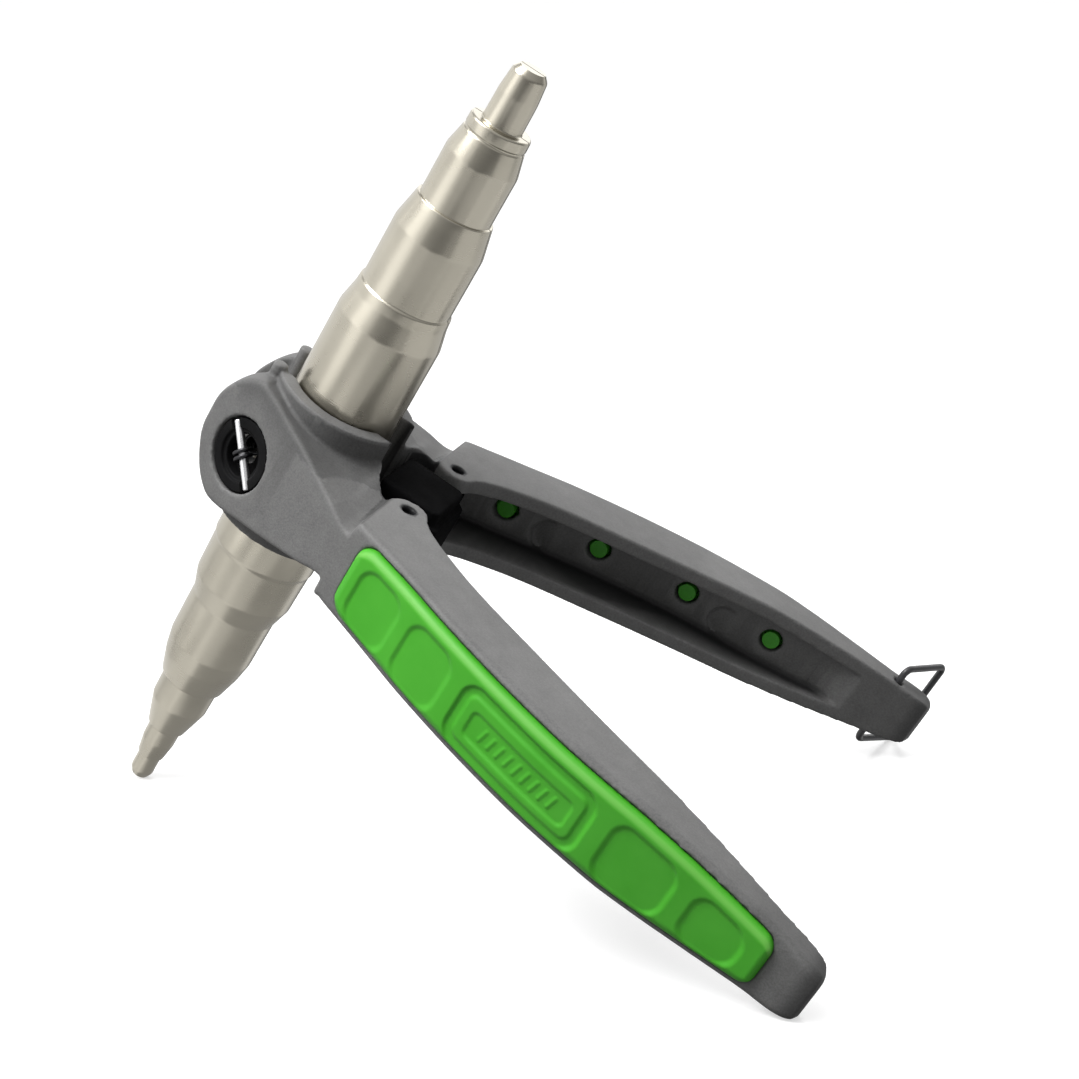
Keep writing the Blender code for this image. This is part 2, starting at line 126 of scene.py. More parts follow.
CUP_TILT = math.radians(26.0)
CUP_R = 6.7
CUP_DEEP = 3.9
CUP_BORE = 4.0
CROSS_R = 0.8
CROSS_DEEP = 1.2
CROSS_TURN = math.radians(48.0)
SPRING_X = -9.6
SPRING_Z = -1.2
SPRING_R = 1.7
SPRING_WIRE = 0.38
STUDS = (31.0, 49.7, 68.6, 87.6)
STUD_Z = -0.4
EJECTOR_MARKS = (40.4, 78.0)
EJECTOR_R = 3.4
EJECTOR_Z = -2.2
EJECTOR_DEEP = 0.4
PAD_FROM = 20.6
PAD_TO = 112.5
PAD_DEEP = 0.9
PAD_PROUD = 1.3
BAIL = (113.0, 53.6)
BAIL_LEG = (6.6, 11.4)
BAIL_WIRE = 0.7
SCREW_X = 3.0
SCREW_Z = 8.9
GAP = 0.3


def soft(table, x):
    """Monotone cubic through the table's points."""
    xs = np.array([p[0] for p in table])
    ys = np.array([p[1] for p in table])
    if x <= xs[0] or x >= xs[-1]:
        return float(np.interp(x, xs, ys))
    step = np.diff(xs)
    rise = np.diff(ys) / step
    k = int(np.searchsorted(xs, x) - 1)

    def slope(i):
        if i == 0 or i == len(xs) - 1:
            return rise[min(i, len(rise) - 1)]
        a, b = rise[i - 1], rise[i]
        if a * b <= 0:
            return 0.0
        wa, wb = 2 * step[i] + step[i - 1], step[i] + 2 * step[i - 1]
        return (wa + wb) / (wa / a + wb / b)

    t = (x - xs[k]) / step[k]
    a, b = slope(k) * step[k], slope(k + 1) * step[k]
    return float(ys[k] * (2 * t ** 3 - 3 * t ** 2 + 1) + a * (t ** 3 - 2 * t ** 2 + t)
                 + ys[k + 1] * (3 * t ** 2 - 2 * t ** 3) + b * (t ** 3 - t ** 2))


# ---------------------------------------------------------------- mesh helpers
def add(name, mesh):
    obj = bpy.data.objects.new(name, mesh)
    bpy.context.scene.collection.objects.link(obj)
    return obj


def from_bm(name, bm):
    bmesh.ops.recalc_face_normals(bm, faces=bm.faces)
    mesh = bpy.data.meshes.new(name)
    bm.to_mesh(mesh)
    bm.free()
    return add(name, mesh)


def loft(name, rings, closed=True):
    bm = bmesh.new()
    rows = [[bm.verts.new(p) for p in ring] for ring in rings]
    for low, high in zip(rows[:-1], rows[1:]):
        for i in range(len(low)):
            j = (i + 1) % len(low)
            bm.faces.new((low[i], low[j], high[j], high[i]))
    if closed:
        bm.faces.new(list(reversed(rows[0])))
        bm.faces.new(rows[-1])
    return from_bm(name, bm)


def cylinder(name, radius, start, end, sides=64):
    start, end = Vector(start), Vector(end)
    axis = end - start
    turn = axis.to_track_quat("Z", "Y").to_matrix().to_4x4()
    bm = bmesh.new()
    bmesh.ops.create_cone(bm, cap_ends=True, segments=sides, radius1=radius, radius2=radius, depth=axis.length,
                          matrix=Matrix.Translation((start + end) / 2) @ turn)
    return from_bm(name, bm)


def box(name, low, high):
    low, high = Vector(low), Vector(high)
    size = high - low
    bm = bmesh.new()
    bmesh.ops.create_cube(bm, size=1.0, matrix=Matrix.Translation((low + high) / 2)
                          @ Matrix.Diagonal((size.x, size.y, size.z, 1.0)))
    return from_bm(name, bm)


def turned(name, profile, steps, matrix=None):
    """Closed body turned about Z from (height, radius) points."""
    bm = bmesh.new()
    rows = []
    for z, r in profile:
        if r < 1e-6:
            rows.append([bm.verts.new((0.0, 0.0, z))])
        else:
            rows.append([bm.verts.new((r * math.cos(2 * math.pi * k / steps),
                                       r * math.sin(2 * math.pi * k / steps), z)) for k in range(steps)])
    for a, b in zip(rows[:-1], rows[1:]):
        for k in range(steps):
            j = (k + 1) % steps
            corners = []
            for corner in (a[k % len(a)], a[j % len(a)], b[j % len(b)], b[k % len(b)]):
                if corner not in corners:
                    corners.append(corner)
            bm.faces.new(corners)
    if matrix is not None:
        bm.transform(matrix)
    return from_bm(name, bm)


def applied(obj):
    graph = bpy.context.evaluated_depsgraph_get()
    mesh = bpy.data.meshes.new_from_object(obj.evaluated_get(graph))
    obj.modifiers.clear()
    obj.data = mesh
    return obj


def cut(obj, other, how="DIFFERENCE"):
    mod = obj.modifiers.new("cut", "BOOLEAN")
    mod.operation = how
    mod.solver = "EXACT"
    mod.object = other
    applied(obj)
    bpy.data.objects.remove(other, do_unlink=True)
    return obj


def bevelled(obj, width, segments=3, angle=30.0):
    mod = obj.modifiers.new("bevel", "BEVEL")
    mod.width = width
    mod.segments = segments
    mod.limit_method = "ANGLE"
    mod.angle_limit = math.radians(angle)
    mod.miter_outer = "MITER_ARC"
    return applied(obj)


def cast(obj, voxel, rounds, share=1.0):
    """Rebuilds the surface on a fine grid and relaxes it, so every edge gets a cast radius."""
    mod = obj.modifiers.new("grid", "REMESH")
    mod.mode = "VOXEL"
    mod.voxel_size = voxel
    mod.adaptivity = 0.0
    applied(obj)
    mod = obj.modifiers.new("relax", "SMOOTH")
    mod.factor = 0.5
    mod.iterations = rounds
    if share < 1.0:
        mod = obj.modifiers.new("thin", "DECIMATE")
        mod.ratio = share
    return applied(obj)


def rounded(points, radius, steps=4):
    """Open (height, radius) profile with each corner rounded by at most `radius`."""
    path = [Vector(p) for p in points]
    out = [path[0]]
    for before, corner, after in zip(path[:-2], path[1:-1], path[2:]):
        a, b = before - corner, after - corner
        reach = min(radius, 0.45 * a.length, 0.45 * b.length)
        start, end = corner + a.normalized() * reach, corner + b.normalized() * reach
        for k in range(steps + 1):
            t = k / steps
            out.append(start * (1 - t) ** 2 + corner * 2 * t * (1 - t) + end * t ** 2)
    out.append(path[-1])
    return [tuple(p) for p in out]


def wire(name, points, radius, resolution=4):
    data = bpy.data.curves.new(name, "CURVE")
    data.dimensions = "3D"
    data.bevel_depth = radius
    data.bevel_resolution = resolution
    data.use_fill_caps = True
    line = data.splines.new("POLY")
    line.points.add(len(points) - 1)
    for spot, p in zip(line.points, points):
        spot.co = (p[0], p[1], p[2], 1.0)
    curve = add(name + "_curve", data)
    graph = bpy.context.evaluated_depsgraph_get()
    mesh = bpy.data.meshes.new_from_object(curve.evaluated_get(graph))
    bpy.data.objects.remove(curve, do_unlink=True)
    return add(name, mesh)


def place(obj, name, mat, body, nodes=(), mirrored=False, sharp=32.0):
    """Cleans the mesh, puts it in the row frame, gives it its material and body."""
    bm = bmesh.new()
    bm.from_mesh(obj.data)
    if mirrored:
        bmesh.ops.transform(bm, matrix=FLIP, verts=bm.verts)
    bmesh.ops.remove_doubles(bm, verts=bm.verts, dist=0.002)
    bmesh.ops.dissolve_degenerate(bm, edges=bm.edges, dist=0.002)
    bmesh.ops.recalc_face_normals(bm, faces=bm.faces)
    bmesh.ops.transform(bm, matrix=PLACE, verts=bm.verts)
    for face in bm.faces:
        face.smooth = True
    bm.to_mesh(obj.data)
    bm.free()
    obj.data.set_sharp_from_angle(angle=math.radians(sharp))
    obj.name = name
    obj.data.name = name
    obj.data.materials.clear()
    obj.data.materials.append(mat)
    if body is not None:
        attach(obj, body)
    if nodes:
        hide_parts(*nodes)
    return obj


# ---------------------------------------------------------------- materials
class Paint:
    """A node material with short calls for the nodes used here."""

    def __init__(self, name, colour, rough, metal=0.0):
        self.mat = bpy.data.materials.new(name)
        self.mat.use_nodes = True
        self.tree = self.mat.node_tree
        self.shader = self.tree.nodes["Principled BSDF"]
        self.set("Base Color", (*colour, 1.0))
        self.set("Roughness", rough)
        self.set("Metallic", metal)
        self.spot = self.tree.nodes.new("ShaderNodeTexCoord").outputs["Object"]

    def set(self, socket, value):
        self.shader.inputs[socket].default_value = value

    def link(self, a, b):
        self.tree.links.new(a, b)
        return b

    def noise(self, scale, detail=3.0, rough=0.55, distortion=0.0, vector=None):
        n = self.tree.nodes.new("ShaderNodeTexNoise")
        n.inputs["Scale"].default_value = scale
        n.inputs["Detail"].default_value = detail
        n.inputs["Roughness"].default_value = rough
        n.inputs["Distortion"].default_value = distortion
        self.link(vector or self.spot, n.inputs["Vector"])
        return n.outputs["Fac"]

    def ramp(self, fac, stops):
        n = self.tree.nodes.new("ShaderNodeValToRGB")
        band = n.color_ramp
        while len(band.elements) < len(stops):
            band.elements.new(0.5)
        for element, (at, colour) in zip(band.elements, stops):
            element.position = at
            element.color = (*colour, 1.0) if isinstance(colour, tuple) else (colour, colour, colour, 1.0)
        self.link(fac, n.inputs["Fac"])
        return n.outputs["Color"]

    def math(self, how, a, b):
        n = self.tree.nodes.new("ShaderNodeMath")
        n.operation = how
        for value, socket in ((a, n.inputs[0]), (b, n.inputs[1])):
            if isinstance(value, (int, float)):
                socket.default_value = value
            else:
                self.link(value, socket)
        return n.outputs["Value"]

    def mix(self, fac, a, b, how="MIX"):
        n = self.tree.nodes.new("ShaderNodeMix")
        n.data_type = "RGBA"
        n.blend_type = how
        for value, socket in ((fac, n.inputs[0]), (a, n.inputs[6]), (b, n.inputs[7])):
            if isinstance(value, (int, float)):
                socket.default_value = value
            elif isinstance(value, tuple):
                socket.default_value = (*value, 1.0)
            else:
                self.link(value, socket)
        return n.outputs[2]

    def bump(self, height, strength, distance, normal=None):
        n = self.tree.nodes.new("ShaderNodeBump")
        n.inputs["Strength"].default_value = strength
        n.inputs["Distance"].default_value = distance
        self.link(height, n.inputs["Height"])
        if normal is not None:
            self.link(normal, n.inputs["Normal"])
        return n.outputs["Normal"]

    def attribute(self, name):
        n = self.tree.nodes.new("ShaderNodeAttribute")
        n.attribute_name = name
        return n

    def pointy(self):
        return self.tree.nodes.new("ShaderNodeNewGeometry").outputs["Pointiness"]

    def out(self, socket, value):
        self.link(value, self.shader.inputs[socket])


def cast_paint():
    p = Paint("cast_paint", (0.2, 0.2, 0.2), 0.5)
    grain = p.noise(2600.0, 2.0, 0.6)
    blotch = p.noise(260.0, 4.0, 0.6)
    broad = p.noise(40.0, 2.0)
    colour = p.ramp(blotch, ((0.3, (0.125, 0.124, 0.122)), (0.7, (0.16, 0.159, 0.156))))
    colour = p.mix(0.3, colour, p.ramp(grain, ((0.3, 0.08), (0.72, 0.22))))
    colour = p.mix(p.ramp(p.pointy(), ((0.53, 0.0), (0.62, 0.18))), colour, (0.28, 0.28, 0.275))
    # painted shade: this attribute mixes near-black paint in where the casting lies in shade
    painted_shade = p.ramp(p.attribute("painted_shade").outputs["Fac"], ((0.0, 0.0), (1.0, 1.0)))
    colour = p.mix(painted_shade, colour, (0.006, 0.006, 0.007))
    p.out("Base Color", colour)
    p.out("Roughness", p.ramp(p.math("ADD", p.math("MULTIPLY", grain, 0.5), p.math("MULTIPLY", broad, 0.5)),
                              ((0.35, 0.42), (0.65, 0.6))))
    fine = p.bump(grain, 0.35, 0.00012)
    p.out("Normal", p.bump(blotch, 0.25, 0.0002, fine))
    p.set("Specular IOR Level", 0.22)
    return p.mat


def nickel():
    p = Paint("satin_nickel", (0.44, 0.41, 0.355), 0.25, 1.0)
    axial = p.attribute("axial").outputs["Fac"]
    join = p.tree.nodes.new("ShaderNodeCombineXYZ")
    p.link(axial, join.inputs["Z"])
    rings = p.noise(1.0, 5.0, 0.7, vector=p.link(join.outputs["Vector"], p.tree.nodes.new(
        "ShaderNodeVectorMath").inputs[0]).node.outputs[0])
    fine = p.noise(5000.0, 2.0, 0.6)
    tone = p.noise(90.0, 3.0, 0.55)
    colour = p.ramp(tone, ((0.3, (0.43, 0.403, 0.335)), (0.7, (0.48, 0.45, 0.376))))
    p.out("Base Color", p.mix(0.03, colour, p.ramp(rings, ((0.3, 0.25), (0.7, 0.6)))))
    p.out("Roughness", p.ramp(p.math("ADD", p.math("MULTIPLY", rings, 0.15), p.math("MULTIPLY", tone, 0.85)),
                              ((0.3, 0.24), (0.7, 0.32))))
    p.out("Normal", p.bump(fine, 0.1, 0.00003, p.bump(rings, 0.01, 0.00001)))
    p.set("Anisotropic", 0.2)
    return p.mat


def rubber():
    p = Paint("grip_rubber", (0.09, 0.42, 0.05), 0.5)
    fine = p.noise(3200.0, 2.0, 0.6)
    tone = p.noise(120.0, 3.0, 0.55)
    colour = p.ramp(tone, ((0.3, (0.047, 0.34, 0.013)), (0.7, (0.061, 0.38, 0.021))))
    # painted highlight: paler green along the pad's lit upper border
    edge = p.ramp(p.attribute("painted_highlight").outputs["Fac"], ((0.0, 0.0), (1.0, 1.0)))
    p.out("Base Color", p.mix(edge, colour, (0.15, 0.47, 0.075)))
    p.out("Roughness", p.ramp(p.math("ADD", p.math("MULTIPLY", fine, 0.4), p.math("MULTIPLY", tone, 0.6)),
                              ((0.3, 0.42), (0.7, 0.58))))
    p.out("Normal", p.bump(fine, 0.2, 0.00006))
    p.set("Specular IOR Level", 0.26)
    return p.mat


def plastic(name, colour, rough, gloss=0.5, grain=1800.0, strength=0.25):
    p = Paint(name, colour, rough)
    fine = p.noise(grain, 3.0, 0.6)
    tone = p.noise(150.0, 3.0, 0.5)
    bright = tuple(min(1.0, c * 1.5 + 0.004) for c in colour)
    worn = tuple(min(1.0, c * 2.0 + 0.004) for c in colour)
    shade = p.ramp(tone, ((0.3, colour), (0.7, bright)))
    p.out("Base Color", p.mix(p.ramp(p.pointy(), ((0.52, 0.0), (0.6, 0.5))), shade, worn))
    p.out("Roughness", p.ramp(fine, ((0.3, rough - 0.07), (0.7, rough + 0.08))))
    p.out("Normal", p.bump(fine, strength, 0.00006))
    p.set("Specular IOR Level", gloss)
    return p.mat


def metal(name, colour, rough, grain=4000.0):
    p = Paint(name, colour, rough, 1.0)
    fine = p.noise(grain, 3.0, 0.6)
    tone = p.noise(200.0, 3.0, 0.5)
    dark = tuple(c * 0.8 for c in colour)
    p.out("Base Color", p.ramp(tone, ((0.3, dark), (0.7, colour))))
    p.out("Roughness", p.ramp(fine, ((0.3, rough - 0.06), (0.7, rough + 0.08))))
    p.out("Normal", p.bump(fine, 0.15, 0.00003))
    return p.mat


CAST = cast_paint()
NICKEL = nickel()
GREEN = rubber()
BLACK = plastic("black_plastic", (0.004, 0.004, 0.0043), 0.6, 0.05)
BLOCK = plastic("block_plastic", (0.002, 0.002, 0.0022), 0.8, 0.01)
# painted shade: the pivot pins are near black so their holes read as deep shade
HINGE_PAINTED_SHADE = metal("hinge_steel_painted_shade", (0.012, 0.012, 0.0125), 0.5)
CROSS = metal("bright_steel", (0.9, 0.9, 0.91), 0.3)
STEEL = metal("pin_steel", (0.66, 0.66, 0.67), 0.22)
SPRING = metal("spring_steel", (0.05, 0.05, 0.053), 0.34)
BRONZE = metal("bush_bronze", (0.45, 0.30, 0.13), 0.36)
WIRE = plastic("bail_wire", (0.02, 0.02, 0.022), 0.36)


# ---------------------------------------------------------------- half bodies
def section(x, corner):
    y_in, y_out = soft(INNER, x), soft(OUTER, x)
    z_in, z_out = soft(HIGH_IN, x), soft(HIGH_OUT, x)
    corner = min(corner, 0.45 * (y_out - y_in), 0.8 * z_out)

    def edge(top, side, sag):
        half = []
        for k in range(9):
            t = k / 9
            dip = sag * math.sin(math.pi * t)
            half.append((y_in + t * (y_out - corner - y_in), side + t * (top - side) - dip))
        for k in range(9):
            a = 0.5 * math.pi * (1 - k / 8)
            half.append((y_out - corner + corner * math.cos(a), top - corner + corner * math.sin(a)))
        return half

    upper = edge(z_out, z_in, 0.3 if -11.2 < x < 17.995 else 0.0)
    below = x + LOW_STEP if 16.7 < x < 18.0 else x
    lower = edge(soft(HIGH_OUT, below), soft(HIGH_IN, below), 0.3 if -11.2 < below < 17.995 else 0.0)
    ring = upper + [(y, -z) for y, z in reversed(lower)]
    lift = 0.6 * min(1.0, max(0.0, (-9.0 - x) / 9.0))
    return [(x, -y, z + lift) for y, z in ring]


def stations():
    out = set(np.linspace(-19.2, 17.99, 60).tolist()) | set(np.linspace(18.01, 121.4, 130).tolist())
    out |= {p[0] for p in INNER} | {p[0] for p in HIGH_OUT} | {16.69, 16.71}
    row = sorted(out)
    return [x for x, after in zip(row, row[1:] + [1e9]) if after - x > 0.015]


def web_line(x):
    """Distance of the channel's floor from the split plane; it closes in towards the handle's end."""
    return soft(OUTER, x) - WEB - max(0.0, x - TAPER_FROM) * TAPER


def pad_half(x):
    full = soft(HIGH_OUT, max(x, 18.1)) - 1.5
    lead = 1.0 - min(1.0, max(0.0, (x - PAD_FROM) / 3.6))
    tail = 1.0 - min(1.0, max(0.0, (PAD_TO - x) / 2.4))
    return full - 3.3 * (1.0 - math.sqrt(1.0 - lead * lead)) - 2.2 * (1.0 - math.sqrt(1.0 - tail * tail))


def cup_axes():
    n = Vector((-math.sin(CUP_TILT), -math.cos(CUP_TILT), 0.0))
    c = Vector((CUP[0], -CUP[1], CUP[2]))
    e = Vector((math.cos(CUP_TILT), -math.sin(CUP_TILT), 0.0))
    d = e * math.sin(CROSS_TURN) - Vector((0, 0, 1)) * math.cos(CROSS_TURN)
    return c, n, d.normalized()


def half_body(with_bail):
    body = loft("body", [section(x, 1.4 if x > 18.0 else 0.9) for x in stations()])
    rings = []
    for x in np.linspace(CHANNEL_FROM, CHANNEL_TO, 70):
        y1 = web_line(x)
        y0 = soft(INNER, x) - 4.0
        z = soft(HIGH_IN, max(x, 18.1)) - FLANGE
        rings.append([(x, -y0, z), (x, -y1, z), (x, -y1, -z), (x, -y0, -z)])
    cut(body, loft("channel", rings))
    collar = cylinder("collar", COLLAR_R, (0, 0, -COLLAR_Z), (0, 0, COLLAR_Z), 128)
    cut(collar, box("half", (-20, -5.6, -20), (20, 20, 20)))
    cut(body, collar, "UNION")
    cut(body, cylinder("bore", BORE_R, (0, 0, 5.3), (0, 0, 20), 96))
    cut(body, cylinder("bore", BORE_R, (0, 0, -20), (0, 0, -5.3), 96))
    cut(body, cylinder("bore", WAIST_RIB_R, (0, 0, -8), (0, 0, 8), 96))
    c, n, d = cup_axes()
    cut(body, cylinder("seat", CUP_R + GAP, c - n * (CUP_DEEP + GAP), c + n * 6.0, 80))
    cut(body, cylinder("passage", 2.7, (SPRING_X, -16.0, SPRING_Z), (SPRING_X, 2.0, SPRING_Z), 40))
    cut(body, cylinder("pin", PIN_R + 0.2, (PIVOT[0], -PIVOT[1], -12), (PIVOT[0], -PIVOT[1], 12), 40))
    for z in (-SCREW_Z, SCREW_Z):
        cut(body, cylinder("tap", 1.3, (SCREW_X, -2.0, z), (SCREW_X, -12.4, z), 32))
    rings = []
    for x in np.linspace(PAD_FROM, PAD_TO, 120):
        y, z = soft(OUTER, x), pad_half(x) + GAP
        rings.append([(x, -(y - PAD_DEEP), z), (x, -(y + 4), z), (x, -(y + 4), -z), (x, -(y - PAD_DEEP), -z)])
    cut(body, loft("recess", rings))
    for x in STUDS:
        y = soft(OUTER, x)
        cut(body, cylinder("stud", 2.35, (x, -(y - 8.0), STUD_Z), (x, -(y + 3.0), STUD_Z), 48))
    for x in EJECTOR_MARKS:
        y = soft(OUTER, x) - WEB
        cut(body, cylinder("mark", EJECTOR_R, (x, -(y + EJECTOR_DEEP), EJECTOR_Z),
                           (x, -(y - 3.0), EJECTOR_Z), 48))
    if with_bail:
        for z in (-1, 1):
            cut(body, cylinder("eye", BAIL_WIRE + 0.3, (BAIL[0], -BAIL[1], 2.0 * z),
                               (BAIL[0], -BAIL[1], 9.0 * z), 32))
    cut(body, cylinder("lug", LUG_R, (*LUG, 4.0), (*LUG, COLLAR_Z + LUG_RISE), 32), "UNION")
    return cast(body, CAST_GRID, CAST_ROUNDS, CAST_SHARE)


# ---------------------------------------------------------------- mandrel
def mandrel_half():
    profile = rounded(MANDREL[1:-1], 0.35, 4)
    profile = [MANDREL[0]] + profile + [MANDREL[-1]]
    body = turned("mandrel", profile, 160)
    cut(body, box("half", (-20, -MANDREL_SPLIT, -100), (20, 20, 100)))
    for z in (-SCREW_Z, SCREW_Z):
        cut(body, cylinder("bolt", 1.4, (SCREW_X, 1.0, z), (SCREW_X, -14.0, z), 32))
        cut(body, cylinder("head", 2.5, (SCREW_X, 1.0, z), (SCREW_X, -3.2, z), 40))
    return body


def mark_painted_shade(obj):
    """Painted shade: darker paint deep in the handle's channel, round the collar's side, on the inner faces by
    the split, along the step by the ear, round the pivot hole and towards the handle's end.
    """
    back = PLACE.inverted()
    levels = []
    for v in obj.data.vertices:
        p = back @ v.co
        y, level = abs(p.y), 0.0
        if p.x > 18.3:
            wall = soft(HIGH_IN, p.x) - FLANGE
            web = web_line(p.x)
            inner = soft(INNER, p.x)
            if y < web + 0.5 and abs(p.z) < wall + 0.4:
                level = 0.85 * (1 - smoothstep(0.2, 2.0, p.z + wall)) * smoothstep(0.8, 3.2, y - inner)
            elif y < inner + 0.5:
                level = 0.15
            level = max(level, 0.25 * smoothstep(100.0, 112.0, p.x) + 0.35 * smoothstep(117.0, 120.0, p.x))
        elif math.hypot(p.x, y) > COLLAR_R - 0.6 and 8.0 < p.z < COLLAR_Z - 0.7:
            level = 0.3
        elif p.x > 10.0 and y < soft(INNER, p.x) + 0.6:
            level = 0.85
        elif p.x > 16.6 and p.z > 4.5:
            level = 0.55 * (1 - smoothstep(17.0, 26.0, y))
        eye = math.hypot(p.x - PIVOT[0], y - PIVOT[1])
        if eye < 2.0:
            level = max(level, 1.0 - smoothstep(1.5, 2.0, eye))
        levels.append(level)
    data = obj.data.attributes.new("painted_shade", "FLOAT", "POINT")
    data.data.foreach_set("value", levels)


def mark_painted_highlight(obj):
    """Painted highlight: paler rubber along the upper border of the pad."""
    back = PLACE.inverted()
    levels = []
    for v in obj.data.vertices:
        p = back @ v.co
        gap = pad_half(p.x) - p.z
        outside = abs(p.y) > soft(OUTER, p.x) + 0.35
        levels.append(0.75 * smoothstep(0.1, 0.6, gap) * (1 - smoothstep(0.9, 1.6, gap)) if outside else 0.0)
    data = obj.data.attributes.new("painted_highlight", "FLOAT", "POINT")
    data.data.foreach_set("value", levels)


def mark_axial(obj):
    data = obj.data.attributes.new("axial", "FLOAT", "POINT")
    back = PLACE.inverted()
    data.data.foreach_set("value", [(back @ v.co).z * 2.2 for v in obj.data.vertices])


# ---------------------------------------------------------------- grips
DIMPLES = ((23.0, 33.6), (35.4, 46.6), (81.4, 95.2), (97.8, 109.0))
PLATE = (49.0, 78.6)
PLATE_FRAME = 1.7


def smoothstep(low, high, value):
    t = min(1.0, max(0.0, (value - low) / (high - low)))
    return t * t * (3 - 2 * t)


def rounded_box(u, v, u0, u1, v0, v1, radius):
    """Signed distance to a rounded rectangle, negative inside."""
    cx, cy = (u0 + u1) / 2, (v0 + v1) / 2
    hx, hy = (u1 - u0) / 2 - radius, (v1 - v0) / 2 - radius
    qx, qy = abs(u - cx) - hx, abs(v - cy) - hy
    return math.hypot(max(qx, 0.0), max(qy, 0.0)) + min(max(qx, qy), 0.0) - radius


def grip_relief(x, z, top):
    """Depth of the moulded pattern, mm, below the pad's face."""
    deep = 0.0
    for a, b in DIMPLES:
        d = rounded_box(x, z, a, b, -top + 0.2, top - 1.8, min(3.6, 0.4 * (b - a)))
        deep = max(deep, 0.5 * (1 - smoothstep(-1.1, 0.0, d)))
    d = rounded_box(x, z, PLATE[0], PLATE[1], -top + 0.2, top - 1.8, 3.6)
    step = 0.6 * (1 - smoothstep(-0.8, 0.0, d))
    step -= 0.38 * (1 - smoothstep(-PLATE_FRAME - 0.7, -PLATE_FRAME, d))
    inner = rounded_box(x, z, PLATE[0] + 3.6, PLATE[1] - 3.6, -top + 3.4, top - 5.6, 1.4)
    step += 0.35 * (1 - smoothstep(-0.6, 0.0, inner))
    for k in range(9):
        mid = PLATE[0] + 7.2 + k * 1.9
        bar = rounded_box(x - 0.25 * (z + 1.2), z, mid - 0.35, mid + 0.35, -2.6, 0.2, 0.3)
        step -= 0.2 * (1 - smoothstep(-0.25, 0.1, bar))
    return max(deep, step)


def grip():
    nx, nz = 380, 56
    bm = bmesh.new()
    rows = []
    for i in range(nx + 1):
        s = i / nx
        x = PAD_FROM + (PAD_TO - PAD_FROM) * (s - 0.02 * math.sin(2 * math.pi * s) / 2)
        y, half = soft(OUTER, x), pad_half(x)
        ring = []
        low = y - PAD_DEEP + GAP
        for k in range(nz + 1):
            v = -1 + 2 * k / nz
            z = half * v
            edge = min(half - abs(z), 1.2 * (x - PAD_FROM), 1.2 * (PAD_TO - x))
            crown = PAD_PROUD * math.sin(0.5 * math.pi * min(1.0, edge / 1.7)) ** 0.7 if edge > 0 else 0.0
            deep = grip_relief(x, z, half) * smoothstep(0.0, 1.6, edge)
            ring.append((x, -(y + 0.1 + crown - deep), z))
        ring.append((x, -low, half))
        ring.append((x, -low, -half))
        rows.append([bm.verts.new(p) for p in ring])
    for a, b in zip(rows[:-1], rows[1:]):
        for k in range(len(a)):
            j = (k + 1) % len(a)
            bm.faces.new((a[k], a[j], b[j], b[k]))
    bm.faces.new(list(reversed(rows[0])))
    bm.faces.new(rows[-1])
    pad = from_bm("grip", bm)
    for x in STUDS:
        y = soft(OUTER, x)
        cut(pad, cylinder("stud", 1.75, (x, -(y - WEB + 0.3), STUD_Z), (x, -(y - 0.3), STUD_Z), 40), "UNION")
    return pad


# ---------------------------------------------------------------- spring cup, pins, spring
def cup():
    c, n, d = cup_axes()
    turn = n.to_track_quat("Z", "Y").to_matrix().to_4x4()
    at = Matrix.Translation(c) @ turn
    outer = rounded([(-CUP_DEEP, 0.0), (-CUP_DEEP, CUP_R - 0.01), (-0.35, CUP_R), (-0.35, CUP_BORE + 0.9),
                     (-0.95, CUP_BORE + 0.7), (-0.95, CUP_BORE), (-CUP_DEEP + 0.6, CUP_BORE),
                     (-CUP_DEEP + 0.6, 0.0)], 0.3, 3)
    piece = turned("cup", outer, 96, at)
    w = n.cross(d) * (CROSS_R + 0.25)
    floor = CROSS_DEEP + CROSS_R + 0.3
    slot = []
    for s in (-1, 1):
        p = c + d * (s * 9.0)
        slot.append([p + w + n * 2, p - w + n * 2, p - w - n * floor, p + w - n * floor])
    cut(piece, loft("slot", slot))
    cut(piece, cylinder("through", 2.6, (SPRING_X, -20.0, SPRING_Z), (SPRING_X, 2.0, SPRING_Z), 40))
    return bevelled(piece, 0.12, 2, 40.0)


def cross_pin():
    c, n, d = cup_axes()
    m = c - n * CROSS_DEEP
    at = Matrix.Translation(m) @ d.to_track_quat("Z", "Y").to_matrix().to_4x4()
    half = 6.4
    side = rounded([(-half, 0.01), (-half, CROSS_R), (half, CROSS_R), (half, 0.01)], 0.25, 4)
    return turned("cross", [(-half, 0.0)] + side + [(half, 0.0)], 40, at)


def spring_path():
    turns, span, fine = 17, 7.2, 20
    steps = turns * fine
    coil = []
    for k in range(steps + 1):
        a = 2 * math.pi * k / fine
        coil.append(Vector((SPRING_X + SPRING_R * math.sin(a), -span + 2 * span * k / steps,
                            SPRING_Z + SPRING_R * math.cos(a))))
    c, n, d = cup_axes()
    m = c - n * CROSS_DEEP
    near = (Vector((0, 1, 0)) - d * d.y).normalized()
    side = d.cross(near)
    reach = CROSS_R + GAP + SPRING_WIRE
    hook = [m + near * 2.6 + side * reach * 0.8 - d * 0.85]
    for k in range(43):
        a = math.pi * (0.5 + k / 42 * 3.15)
        along = d * (0.85 * (k / 21 - 1.0))
        hook.append(m + near * (reach * math.cos(a)) + side * (reach * math.sin(a)) + along)
    front = list(reversed(hook))
    rear = [Vector((p.x, -p.y, p.z)) for p in hook]
    half = len(coil) // 2
    return front + coil[:half + 1], coil[half:] + rear


